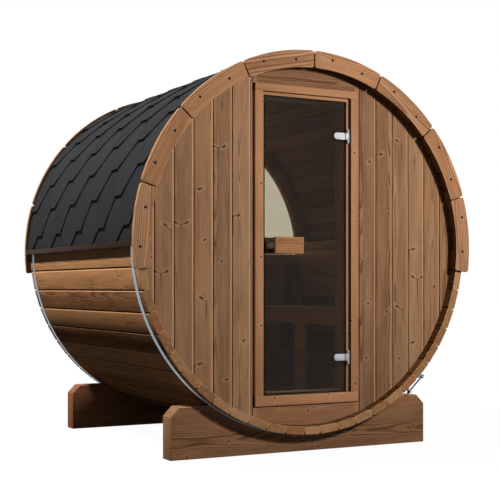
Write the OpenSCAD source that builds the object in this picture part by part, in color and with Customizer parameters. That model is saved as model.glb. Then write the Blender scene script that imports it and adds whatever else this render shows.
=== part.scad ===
// Barrel sauna on two cradles, glass door in front, half-moon window behind.
// Units are millimetres. X to the right, Y to the back, Z up, ground at Z = 0.

/* [Barrel] */
// outer radius over the stave corners
barrel_r = 975; // [700:5:1300]
// length of the staves
barrel_len = 1700; // [1200:10:3000]
// thickness of a stave
stave_t = 42; // [28:1:60]
// number of staves all round, one of them the narrow closing stave
stave_n = 54; // [36:2:72]
// angle taken by the narrow closing stave at the bottom
closing_deg = 5.5; // [4:0.1:7]
// height of the lowest stave above the ground
barrel_up = 93; // [60:1:140]

/* [Cradles] */
// length of a cradle across the barrel
cradle_len = 1530; // [1100:5:1800]
// height of a cradle
cradle_h = 262; // [180:1:330]
// thickness of a cradle
cradle_t = 95; // [60:1:150]
// corner cut on the top ends of a cradle
cradle_cut = 48; // [10:1:80]
// distance from the stave ends to the outer face of a cradle
cradle_in = 80; // [78:1:300]

/* [Fascia and roof] */
// thickness of the curved fascia boards
fascia_t = 22; // [15:1:40]
// radial width of the fascia boards
fascia_w = 89; // [70:1:120]
// how far the fascia stands out past the staves
fascia_out = 28; // [16:1:45]
// number of fascia boards at each end, half on each side
fascia_n = 8; // [4:2:12]
// gap between two fascia boards
fascia_gap = 4; // [2:0.5:10]
// how far the fascia runs down past the middle height
fascia_drop_deg = 7.7; // [0:0.1:20]
// thickness of the roof covering
roof_t = 12; // [6:1:20]
// angle above middle height where the roof covering starts
eave_deg = 0.6; // [0.3:0.1:12]
// height of the batten under the eave
batten_h = 27; // [20:1:60]
// how far the batten stands out
batten_out = 26; // [15:1:27]

/* [End walls] */
// how far the walls are set in from the stave ends
wall_in = 56; // [30:1:120]
// thickness of the end walls
wall_t = 42; // [28:1:60]

/* [Doorway] */
// outer width of the door frame
frame_w = 620; // [560:5:800]
// outer height of the door frame
frame_h = 1645; // [1350:5:1700]
// height of the underside of the door frame
frame_z = 247; // [220:1:320]
// visible width of the frame face at the sides
face_side = 43; // [36:1:60]
// visible height of the frame face at the top
face_top = 37; // [30:1:60]
// visible height of the frame face at the bottom
face_bottom = 52; // [40:1:80]
// how far the frame stands out in front of the wall
frame_proud = 9; // [3:1:30]
// depth of the frame from front to back
frame_depth = 118; // [90:1:140]
// how far the rim round the glass is set back from the frame face
rim_back = 22; // [20:1:30]
// visible width of the rim round the glass
rim_w = 17; // [14:1:25]
// shadow gap between frame and wall
shadow_gap = 9; // [5:1:15]
// depth of that gap from the wall face to the packing strip
gap_depth = 15; // [8:1:30]

/* [Door leaf] */
// thickness of the glass
glass_t = 6; // [5:1:10]
// gap round the closed leaf
leaf_gap = 6; // [5:0.5:10]
// how far the middle of the glass lies behind the rim face
leaf_in = 4; // [3:0.5:8]
// distance of the hinge axis in front of the rim face
axis_out = 11; // [10:0.5:13]
// distance of the hinge axis from the edge of the rim, towards the jamb
axis_in = 5.5; // [4:0.5:8]
// distance of a hinge centre from the end of the leaf
hinge_in = 178; // [80:1:300]
// height of a hinge
hinge_h = 72; // [60:1:100]
// height of a glass clamp
clamp_h = 36; // [24:1:44]
// length of a glass clamp
clamp_l = 74; // [50:1:100]
// thickness of a clamp cheek
cheek_t = 5.5; // [4:0.5:7]
// radius of the hinge knuckle
knuckle_r = 6.5; // [6:0.1:7]
// radius of the hinge pin
pin_r = 3.5; // [2.5:0.5:4]
// how far the stop behind the leaf reaches in from the rim
stop_w = 12; // [8:1:20]

/* [Handle] */
// width of the handle block
handle_w = 167; // [100:1:220]
// height of the handle block
handle_h = 85; // [60:1:120]
// thickness of the handle block
handle_t = 21; // [15:1:30]
// gap between handle block and glass
handle_gap = 43; // [25:1:60]
// distance of the handle block from the free edge of the leaf
handle_in = 29; // [20:1:80]
// radius of a handle stand-off
post_r = 14.5; // [8:0.5:18]
// distance of a stand-off from the end of the handle block
post_in = 6; // [2:1:30]
// radius of the stud through the glass
stud_r = 6; // [4:0.5:8]

/* [Window] */
// width of the arched window frame
arch_w = 80; // [50:1:120]
// height of the window rail
rail_h = 70; // [50:1:120]
// height of the rail top above the barrel centre
rail_up = 6; // [-100:1:100]
// thickness of the window pane
pane_t = 6; // [4:1:12]
// depth of the groove that holds the pane
groove_d = 12; // [8:1:20]

/* [Inside] */
// height of the floor boards above the ground
floor_z = 225; // [200:1:260]
// thickness of the floor boards
floor_t = 28; // [18:1:40]
// number of floor boards
floor_n = 6; // [3:1:8]
// gap between two floor boards
floor_gap = 5; // [3:0.5:10]
// width of a floor bearer
bearer_w = 44; // [30:1:80]
// distance of the outer floor bearers from the end walls
bearer_in = 60; // [40:5:200]
// distance of the bench front from the middle
bench_x = 415; // [340:1:480]
// height of the bench top
bench_z = 737; // [600:1:800]
// thickness of bench boards
board_t = 28; // [20:1:40]
// height of the bench apron
apron_h = 100; // [70:1:140]
// width of the middle bench leg
leg_w = 105; // [60:1:140]
// number of bench slats
slat_n = 4; // [3:1:6]
// gap between two bench slats
slat_gap = 6; // [3:1:15]
// height of a bench bearer
rail_drop = 64; // [40:1:90]
// distance of the backrest face from the middle
back_x = 850; // [780:1:870]
// height of the lowest backrest slat
back_z = 800; // [780:1:850]
// height of a backrest slat
back_h = 55; // [40:1:80]
// thickness of a backrest slat
back_t = 18; // [12:1:20]
// gap between two backrest slats
back_gap = 5; // [3:1:15]
// number of backrest slats
back_n = 6; // [3:1:7]
// width of a backrest upright
upright_w = 70; // [40:1:100]
// distance of the outer uprights from the end walls
upright_in = 90; // [60:5:250]

/* [Bands] */
// width of the steel bands
band_w = 33; // [20:1:33]
// thickness of the steel bands
band_t = 1.5; // [1:0.5:4]
// distance of a band from the stave ends
band_in = 45; // [30:1:45]
// angle of the band tensioner, below middle height on the right
lug_deg = 47; // [44:1:50]
// distance between the two tensioner lugs
lug_gap = 110; // [80:1:120]
// how far a lug stands out
lug_out = 52; // [46:1:60]
// thickness of a lug
lug_t = 8; // [5:1:12]
// radius of the tensioner bolt
bolt_r = 4; // [3:0.5:5]
// distance of the bolt from the band
bolt_out = 45; // [30:1:46]
// length of the bolt past each lug
bolt_tail = 14; // [12:1:30]

/* [Hidden] */
fit = 0.3;
play = 2;
centre_z = barrel_up + barrel_r;
pitch_deg = (360 - closing_deg) / (stave_n - 1);
side_n = (stave_n - 2) / 2;
face_r = barrel_r * cos(pitch_deg / 2);
inner_r = face_r - stave_t;
rim_r = inner_r - fit;
half_len = barrel_len / 2;
wall_y = half_len - wall_in;
wall_back_y = wall_y - wall_t;
roof_r = barrel_r + fit;
fascia_r = barrel_r + fascia_out;
fascia_in_r = fascia_r - fascia_w;
fascia_span = (180 + 2 * fascia_drop_deg) / fascia_n;
band_r = barrel_r + fit;
band_y = half_len - band_in - band_w / 2;

frame_top = frame_z + frame_h;
frame_half = frame_w / 2;
face_half = frame_half - face_side;
open_half = face_half - rim_w;
open_lo = frame_z + face_bottom;
open_hi = frame_top - face_top - rim_w;
door_z = (open_lo + open_hi) / 2;
frame_front = -wall_y - frame_proud;
frame_back = frame_front + frame_depth;
rim_y = frame_front + rim_back;
leaf_y = rim_y + leaf_in;
hole_half = frame_half + shadow_gap;
pack_y = -wall_y + gap_depth;
sill_gap = shadow_gap - play;
leaf_right = open_half - leaf_gap - 1;
leaf_left = -open_half + leaf_gap;
leaf_lo = open_lo + leaf_gap;
leaf_hi = open_hi - leaf_gap;
handle_x = leaf_left + handle_in;
axis_x = open_half + axis_in;
axis_y = rim_y - axis_out;
hinge_hi = leaf_hi - hinge_in;
hinge_lo = leaf_lo + hinge_in;
ear_h = (hinge_h - clamp_h) / 2 - play;
plate_t = 3;
plate_in = 4;
cheek_in = glass_t / 2 + fit;
cheek_out = cheek_in + cheek_t;
stop_y = leaf_y + cheek_out + leaf_gap - 0.5;

arch_r = rim_r - arch_w;
rail_z = centre_z + rail_up;
pane_y = half_len - wall_in - wall_t / 2;
pane_r = arch_r + groove_d;

far = 3 * barrel_r;

// node to draw, or all of them

// ---------- shared shapes ----------

// disc across the barrel, given radius, from y0 to y1
module disc(r, y0, y1) {
  translate([0, y1, centre_z])
    rotate([90, 0, 0])
      cylinder(r = r, h = y1 - y0, $fn = 180);
}

// part of a ring across the barrel, from angle a to angle a + span
module ring_part(r0, r1, a, span, y0, y1) {
  translate([0, y1, centre_z])
    rotate([90, 0, 0])
      rotate_extrude(angle = span, start = a, $fn = 180)
        translate([r0, 0])
          square([r1 - r0, y1 - y0]);
}

// half the width of the room at height z
function half_width(z) = sqrt(rim_r * rim_r - (centre_z - z) * (centre_z - z));

// box given by its two corners
module block(a, b) {
  translate(a)
    cube(b - a);
}

// one stave with its middle at angle a and taking w degrees
module stave(a, w) {
  r_out = barrel_r;
  r_in = (barrel_r * cos(w / 2) - stave_t) / cos(w / 2);
  g = asin(fit / 2 / barrel_r);
  translate([0, half_len, centre_z])
    rotate([90, 0, 0])
      linear_extrude(barrel_len)
        polygon([
          [r_in * cos(a - w / 2 + g), r_in * sin(a - w / 2 + g)],
          [r_out * cos(a - w / 2 + g), r_out * sin(a - w / 2 + g)],
          [r_out * cos(a + w / 2 - g), r_out * sin(a + w / 2 - g)],
          [r_in * cos(a + w / 2 - g), r_in * sin(a + w / 2 - g)]
        ]);
}

// staves number k0 to k1 counted from the closing stave, s = 1 right, -1 left
module side_staves(k0, k1, s) {
  for (k = [k0 : k1])
    stave(-90 + s * (closing_deg / 2 + (k - 0.5) * pitch_deg), pitch_deg);
}

// ---------- barrel ----------

staves_sector = round(side_n / 6);
split_1 = staves_sector;
split_2 = split_1 + round((side_n - 2 * split_1) / 2);
split_3 = side_n - staves_sector;

module staves_bottom() {
  color("#9a7048") {
    stave(-90, closing_deg);
    side_staves(1, split_1, 1);
    side_staves(1, split_1, -1);
  }
}

module staves_lower_left() {
  color("#9a7048")
    side_staves(split_1 + 1, split_2, -1);
}

module staves_lower_right() {
  color("#9a7048")
    side_staves(split_1 + 1, split_2, 1);
}

module staves_upper_left() {
  color("#9a7048")
    side_staves(split_2 + 1, split_3, -1);
}

module staves_upper_right() {
  color("#9a7048")
    side_staves(split_2 + 1, split_3, 1);
}

module staves_top() {
  color("#9a7048") {
    side_staves(split_3 + 1, side_n, 1);
    side_staves(split_3 + 1, side_n, -1);
    stave(90, pitch_deg);
  }
}

// ---------- cradles ----------

module cradle(y0) {
  difference() {
    translate([0, y0 + cradle_t, 0])
      rotate([90, 0, 0])
        linear_extrude(cradle_t)
          polygon([
            [-cradle_len / 2, 0],
            [cradle_len / 2, 0],
            [cradle_len / 2, cradle_h - cradle_cut],
            [cradle_len / 2 - cradle_cut, cradle_h],
            [-cradle_len / 2 + cradle_cut, cradle_h],
            [-cradle_len / 2, cradle_h - cradle_cut]
          ]);
    disc(barrel_r + fit, y0 - 1, y0 + cradle_t + 1);
  }
}

module cradle_front() {
  color("#7d5a41")
    cradle(-half_len + cradle_in);
}

module cradle_rear() {
  color("#7d5a41")
    cradle(half_len - cradle_in - cradle_t);
}

// ---------- end walls ----------

module front_disc() {
  disc(rim_r, -wall_y, -wall_back_y);
}

module front_wall_left() {
  color("#8a6a4c")
    intersection() {
      front_disc();
      block([-far, -far, 0], [-hole_half, far, far]);
    }
}

module front_wall_right() {
  color("#8a6a4c")
    intersection() {
      front_disc();
      block([hole_half, -far, 0], [far, far, far]);
    }
}

module front_lintel() {
  color("#a4805c")
    intersection() {
      front_disc();
      block([-hole_half + fit, -far, frame_top + fit], [hole_half - fit, far, far]);
    }
}

module front_sill() {
  color("#a4805c")
    intersection() {
      front_disc();
      block([-hole_half + fit, -far, 0], [hole_half - fit, far, frame_z - sill_gap]);
    }
}

module rear_disc(r) {
  disc(r, wall_back_y, wall_y);
}

module rear_wall() {
  color("#8a6a4c")
    intersection() {
      rear_disc(rim_r);
      block([-far, -far, 0], [far, far, rail_z - rail_h]);
    }
}

module pane_shape(extra) {
  intersection() {
    disc(pane_r + extra, pane_y - pane_t / 2 - extra, pane_y + pane_t / 2 + extra);
    block([-far, -far, rail_z - groove_d - extra], [far, far, far]);
  }
}

module window_rail() {
  color("#9a7048")
    difference() {
      intersection() {
        rear_disc(rim_r);
        block([-far, -far, rail_z - rail_h + fit], [far, far, rail_z]);
      }
      pane_shape(fit);
    }
}

module window_arch() {
  color("#9a7048")
    difference() {
      intersection() {
        rear_disc(rim_r);
        block([-far, -far, rail_z + fit], [far, far, far]);
      }
      disc(arch_r, wall_back_y - 1, wall_y + 1);
      pane_shape(fit);
    }
}

module window_pane() {
  color("#3c3834")
    pane_shape(0);
}

// ---------- fascia, roof and bands ----------

// fascia boards number k0 to k1 counted from the right-hand end
module fascia(y0, k0, k1) {
  half_gap = asin(fascia_gap / 2 / fascia_r);
  for (k = [k0 : k1])
    ring_part(fascia_in_r, fascia_r, k * fascia_span - fascia_drop_deg + half_gap,
              fascia_span - 2 * half_gap, y0, y0 + fascia_t);
}

module front_fascia_left() {
  color("#a07048")
    fascia(-half_len - fascia_t - fit, fascia_n / 2, fascia_n - 1);
}

module front_fascia_right() {
  color("#a07048")
    fascia(-half_len - fascia_t - fit, 0, fascia_n / 2 - 1);
}

module rear_fascia_left() {
  color("#a07048")
    fascia(half_len + fit, fascia_n / 2, fascia_n - 1);
}

module rear_fascia_right() {
  color("#a07048")
    fascia(half_len + fit, 0, fascia_n / 2 - 1);
}

module band_room(y) {
  ring_part(roof_r - 1, roof_r + band_t + fit, 0, 360, y - band_w / 2 - fit, y + band_w / 2 + fit);
}

module roof_half(a) {
  difference() {
    ring_part(roof_r, roof_r + roof_t, a, 90 - eave_deg - 0.01, -half_len, half_len);
    band_room(-band_y);
    band_room(band_y);
  }
}

module roof_left() {
  color("#323234")
    roof_half(90.01);
}

module roof_right() {
  color("#323234")
    roof_half(eave_deg);
}

// batten under the eave on the side s
module eave(s) {
  top = centre_z + roof_r * sin(eave_deg) - fit;
  difference() {
    intersection() {
      block([-fascia_r, -half_len, top - batten_h], [fascia_r, half_len, top]);
      block([s > 0 ? 0 : -far, -far, 0], [s > 0 ? far : 0, far, far]);
      disc(roof_r + batten_out, -half_len, half_len);
    }
    disc(roof_r, -half_len - 1, half_len + 1);
    band_room(-band_y);
    band_room(band_y);
  }
}

module eave_left() {
  color("#4a3222")
    eave(-1);
}

module eave_right() {
  color("#4a3222")
    eave(1);
}

lug_w = band_w - 7;
lug_far = (lug_gap + lug_t) / 2;
// where a lug starts inside the curved band, measured from its tangent
lug_base = sqrt(pow(band_r + band_t / 2, 2) - pow(lug_far, 2)) - band_r;
nut_h = 8;

// frame of the tensioner, X outwards from the band, Z along the bolt
module at_tensioner(y) {
  translate([0, y, centre_z])
    rotate([0, lug_deg, 0])
      translate([band_r, 0, 0])
        children();
}

// two lugs of the tensioner, drilled for the bolt
module lugs(y) {
  at_tensioner(y)
    for (s = [-1, 1])
      difference() {
        translate([lug_base, -lug_w / 2, s * lug_gap / 2 - lug_t / 2])
          cube([lug_out - lug_base, lug_w, lug_t]);
        translate([bolt_out, 0, s * lug_gap / 2 - lug_t])
          cylinder(r = bolt_r + fit, h = 2 * lug_t, $fn = 24);
      }
}

module band(y) {
  ring_part(band_r, band_r + band_t, 0, 360, y - band_w / 2, y + band_w / 2);
  lugs(y);
}

module front_band() {
  color("#96a5af")
    band(-band_y);
}

module rear_band() {
  color("#96a5af")
    band(band_y);
}

module band_bolts() {
  bolt_len = lug_gap + lug_t + 2 * bolt_tail;
  nut_z = (lug_gap + lug_t + nut_h) / 2 + fit;
  color("#2a2a2c")
    for (y = [-band_y, band_y])
      at_tensioner(y)
        translate([bolt_out, 0, 0]) {
          cylinder(r = bolt_r, h = bolt_len, center = true, $fn = 24);
          for (s = [-1, 1])
            translate([0, 0, s * nut_z])
              cylinder(r = 2 * bolt_r, h = nut_h, center = true, $fn = 6);
        }
}

// ---------- door frame ----------

module frame_head() {
  color("#af7d55") {
    block([-frame_half, frame_front, frame_top - face_top], [frame_half, frame_back, frame_top]);
    block([-face_half, rim_y, open_hi], [face_half, frame_back, frame_top - face_top]);
    block([-open_half, stop_y, open_hi - stop_w], [open_half, frame_back, open_hi]);
  }
}

module frame_threshold() {
  color("#af7d55") {
    block([-frame_half, frame_front, frame_z], [frame_half, frame_back, open_lo]);
    block([-open_half, stop_y, open_lo], [open_half, frame_back, open_lo + stop_w]);
  }
}

// jamb with its rim, stop and packing strip, s = 1 right, -1 left
module jamb(s) {
  lo = open_lo + fit;
  hi = frame_top - face_top - fit;
  mirror([s > 0 ? 0 : 1, 0, 0]) {
    block([face_half, frame_front, lo], [frame_half, frame_back, hi]);
    block([open_half, rim_y, lo], [face_half, frame_back, open_hi - fit]);
    block([frame_half, pack_y, lo], [hole_half - fit, -wall_back_y, hi]);
    block([open_half - stop_w, stop_y, lo + stop_w], [open_half, frame_back, open_hi - stop_w - fit]);
  }
}

module frame_jamb_left() {
  color("#af7d55")
    jamb(-1);
}

module frame_jamb_right() {
  color("#af7d55")
    jamb(1);
}

// ---------- hinges ----------

// bracket on the rim face with two ears and the pin, z is the hinge centre
module hinge_bracket(z) {
  seat = axis_out - fit;
  plate_x = face_half - axis_x - fit;
  translate([axis_x, axis_y, z]) {
    block([-plate_in, seat - plate_t, -hinge_h / 2], [plate_x, seat, hinge_h / 2]);
    for (s = [-1, 1])
      translate([0, 0, s * (hinge_h - ear_h) / 2 - ear_h / 2]) {
        cylinder(r = knuckle_r, h = ear_h, $fn = 36);
        block([-plate_in, 0, 0], [plate_in + 1, seat, ear_h]);
      }
    cylinder(r = pin_r, h = hinge_h - play, center = true, $fn = 24);
  }
}

module hinge_bracket_top() {
  color("#c4c6c8")
    hinge_bracket(hinge_hi);
}

module hinge_bracket_bottom() {
  color("#c4c6c8")
    hinge_bracket(hinge_lo);
}

// clamp that grips the glass, with its knuckle round the pin
module hinge_clamp(z) {
  edge = leaf_right - axis_x;
  web = edge + play;
  tail = web - clamp_l + clamp_h / 2;
  glass = leaf_y - axis_y;
  front = glass - cheek_out - 3;
  arm = axis_out - plate_t - fit - play;
  translate([axis_x, axis_y, z])
    difference() {
      union() {
        cylinder(r = knuckle_r, h = clamp_h, center = true, $fn = 36);
        block([edge - 4, -4, -clamp_h / 2], [0, arm, clamp_h / 2]);
        block([tail, front, -clamp_h / 2], [web, glass + cheek_out, clamp_h / 2]);
        translate([tail, glass + cheek_out, 0])
          rotate([90, 0, 0])
            cylinder(r = clamp_h / 2, h = glass + cheek_out - front, $fn = 48);
      }
      block([tail - clamp_h, glass - cheek_in, -clamp_h], [edge + fit, glass + cheek_in, clamp_h]);
      cylinder(r = pin_r + fit, h = 2 * clamp_h, center = true, $fn = 24);
    }
}

module hinge_clamp_top() {
  color("#c4c6c8")
    hinge_clamp(hinge_hi);
}

module hinge_clamp_bottom() {
  color("#c4c6c8")
    hinge_clamp(hinge_lo);
}

// ---------- door leaf and handle ----------

post_x0 = handle_x + post_in + post_r;
post_x1 = handle_x + handle_w - post_in - post_r;

module door_glass() {
  color("#3c342d")
    difference() {
      block([leaf_left, leaf_y - glass_t / 2, leaf_lo], [leaf_right, leaf_y + glass_t / 2, leaf_hi]);
      for (x = [post_x0, post_x1])
        translate([x, leaf_y, door_z])
          rotate([90, 0, 0])
            cylinder(r = stud_r + fit, h = 4 * glass_t, center = true, $fn = 24);
    }
}

module handle_block(y0) {
  block([handle_x, y0, door_z - handle_h / 2], [handle_x + handle_w, y0 + handle_t, door_z + handle_h / 2]);
}

module handle_outer() {
  color("#a57650")
    handle_block(leaf_y - glass_t / 2 - handle_gap - handle_t);
}

module handle_inner() {
  color("#a57650")
    handle_block(leaf_y + glass_t / 2 + handle_gap);
}

module handle_posts() {
  reach = glass_t / 2 + handle_gap - fit;
  color("#d8dadc")
    for (x = [post_x0, post_x1])
      translate([x, leaf_y, door_z])
        rotate([90, 0, 0]) {
          cylinder(r = stud_r, h = 2 * reach, center = true, $fn = 24);
          translate([0, 0, glass_t / 2 + fit])
            cylinder(r = post_r, h = handle_gap - 2 * fit, $fn = 48);
          translate([0, 0, -glass_t / 2 - handle_gap + fit])
            cylinder(r = post_r, h = handle_gap - 2 * fit, $fn = 48);
        }
}

// ---------- floor ----------

floor_under = floor_z - floor_t;
floor_half = half_width(floor_under) - play;
floor_bw = (2 * floor_half - (floor_n - 1) * floor_gap) / floor_n;
room_y = wall_back_y - fit;

module floor_boards() {
  color("#8f6a48")
    for (k = [0 : floor_n - 1])
      translate([-floor_half + k * (floor_bw + floor_gap), -room_y, floor_under])
        cube([floor_bw, 2 * room_y, floor_t]);
}

module floor_bearers() {
  color("#8f6a48")
    for (y = [-room_y + bearer_in, 0, room_y - bearer_in])
      intersection() {
        disc(rim_r, y - bearer_w / 2, y + bearer_w / 2);
        block([-floor_half, -far, 0], [floor_half, far, floor_under - fit]);
      }
}

// ---------- benches ----------

seat_back = half_width(bench_z - board_t) - play;
seat_front = bench_x + board_t + slat_gap;
seat_bw = (seat_back - seat_front - (slat_n - 1) * slat_gap) / slat_n;

module bench_seat(s) {
  mirror([s > 0 ? 0 : 1, 0, 0])
    for (k = [0 : slat_n - 1])
      translate([seat_front + k * (seat_bw + slat_gap), -room_y, bench_z - board_t])
        cube([seat_bw, 2 * room_y, board_t]);
}

module bench_seat_left() {
  color("#9a7048")
    bench_seat(-1);
}

module bench_seat_right() {
  color("#9a7048")
    bench_seat(1);
}

// apron, middle leg and three bearers of a bench
module bench_frame(s) {
  mirror([s > 0 ? 0 : 1, 0, 0]) {
    block([bench_x, -room_y, bench_z - apron_h], [bench_x + board_t, room_y, bench_z]);
    intersection() {
      block([bench_x, -leg_w / 2, 0], [bench_x + board_t, leg_w / 2, bench_z - apron_h - fit]);
      disc(rim_r, -leg_w, leg_w);
    }
    for (y = [-room_y + board_t / 2, 0, room_y - board_t / 2])
      intersection() {
        block([bench_x + board_t + fit, y - board_t / 2, bench_z - board_t - rail_drop],
              [far, y + board_t / 2, bench_z - board_t - fit]);
        disc(rim_r, y - board_t, y + board_t);
      }
  }
}

module bench_frame_left() {
  color("#9a7048")
    bench_frame(-1);
}

module bench_frame_right() {
  color("#9a7048")
    bench_frame(1);
}

// lengthwise backrest slats on three uprights
module backrest(s) {
  step = back_h + back_gap;
  mirror([s > 0 ? 0 : 1, 0, 0]) {
    for (k = [0 : back_n - 1])
      translate([back_x, -room_y, back_z + k * step])
        cube([back_t, 2 * room_y, back_h]);
    for (y = [-room_y + upright_in, 0, room_y - upright_in])
      intersection() {
        block([back_x + back_t + fit, y - upright_w / 2, back_z],
              [far, y + upright_w / 2, back_z + back_n * step - back_gap]);
        disc(rim_r, y - upright_w, y + upright_w);
      }
  }
}

module backrest_left() {
  color("#9a7048")
    backrest(-1);
}

module backrest_right() {
  color("#9a7048")
    backrest(1);
}

// ---------- drawing ----------

staves_bottom();
staves_lower_left();
staves_lower_right();
staves_upper_left();
staves_upper_right();
staves_top();
cradle_front();
cradle_rear();
front_wall_left();
front_wall_right();
front_lintel();
front_sill();
rear_wall();
window_rail();
window_arch();
window_pane();
front_fascia_left();
front_fascia_right();
rear_fascia_left();
rear_fascia_right();
roof_left();
roof_right();
eave_left();
eave_right();
front_band();
rear_band();
band_bolts();
frame_head();
frame_threshold();
frame_jamb_left();
frame_jamb_right();
hinge_bracket_top();
hinge_bracket_bottom();
hinge_clamp_top();
hinge_clamp_bottom();
door_glass();
handle_outer();
handle_inner();
handle_posts();
floor_boards();
floor_bearers();
bench_seat_left();
bench_seat_right();
bench_frame_left();
bench_frame_right();
backrest_left();
backrest_right();
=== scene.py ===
import math
import random

import bmesh
import bpy
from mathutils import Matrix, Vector


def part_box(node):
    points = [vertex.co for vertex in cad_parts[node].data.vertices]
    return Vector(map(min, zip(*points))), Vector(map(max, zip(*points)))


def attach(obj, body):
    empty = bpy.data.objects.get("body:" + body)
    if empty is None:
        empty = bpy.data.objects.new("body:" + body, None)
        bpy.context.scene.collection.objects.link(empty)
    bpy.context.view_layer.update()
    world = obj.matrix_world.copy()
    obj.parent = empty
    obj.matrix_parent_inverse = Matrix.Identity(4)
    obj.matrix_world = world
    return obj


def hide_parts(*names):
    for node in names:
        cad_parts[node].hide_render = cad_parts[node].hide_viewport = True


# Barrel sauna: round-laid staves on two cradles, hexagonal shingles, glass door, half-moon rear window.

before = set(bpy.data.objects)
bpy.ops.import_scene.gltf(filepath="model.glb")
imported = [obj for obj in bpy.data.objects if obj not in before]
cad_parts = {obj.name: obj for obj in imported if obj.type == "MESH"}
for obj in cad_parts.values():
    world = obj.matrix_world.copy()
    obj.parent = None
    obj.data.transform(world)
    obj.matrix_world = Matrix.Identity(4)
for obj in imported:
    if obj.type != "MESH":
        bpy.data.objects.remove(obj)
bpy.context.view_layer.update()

random.seed(7)

# ---------- sizes read from the frame, in metres ----------

MM = 0.001
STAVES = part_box("staves_top")
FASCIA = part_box("front_fascia_right")
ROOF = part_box("roof_right")
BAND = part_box("front_band")
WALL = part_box("front_wall_left")
REAR_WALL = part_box("rear_wall")
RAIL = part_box("window_rail")
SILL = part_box("front_sill")
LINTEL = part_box("front_lintel")
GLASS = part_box("door_glass")

CENTRE_Z = (BAND[0].z + BAND[1].z) / 2
HALF_LEN = STAVES[1].y
FACE_R = STAVES[1].z - CENTRE_Z
STAVE_T = 42 * MM
INNER_R = FACE_R - STAVE_T
WALL_R = INNER_R - 0.3 * MM
ROOF_R = ROOF[1].z - CENTRE_Z + 8 * MM
DECK_R = BAND[1].z - CENTRE_Z + 0.2 * MM
FASCIA_R = FASCIA[1].z - CENTRE_Z - 0.1 * MM
FASCIA_W = 89 * MM
ARCH_W = 80 * MM

STAVE_COUNT = 54
CLOSING = math.radians(5.5)
PITCH = (math.tau - CLOSING) / (STAVE_COUNT - 1)

BOARD_PITCH = 106 * MM
HOLE_X = LINTEL[1].x + 0.3 * MM
POST_STRIP = 9 * MM


# ---------- node helpers ----------


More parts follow.
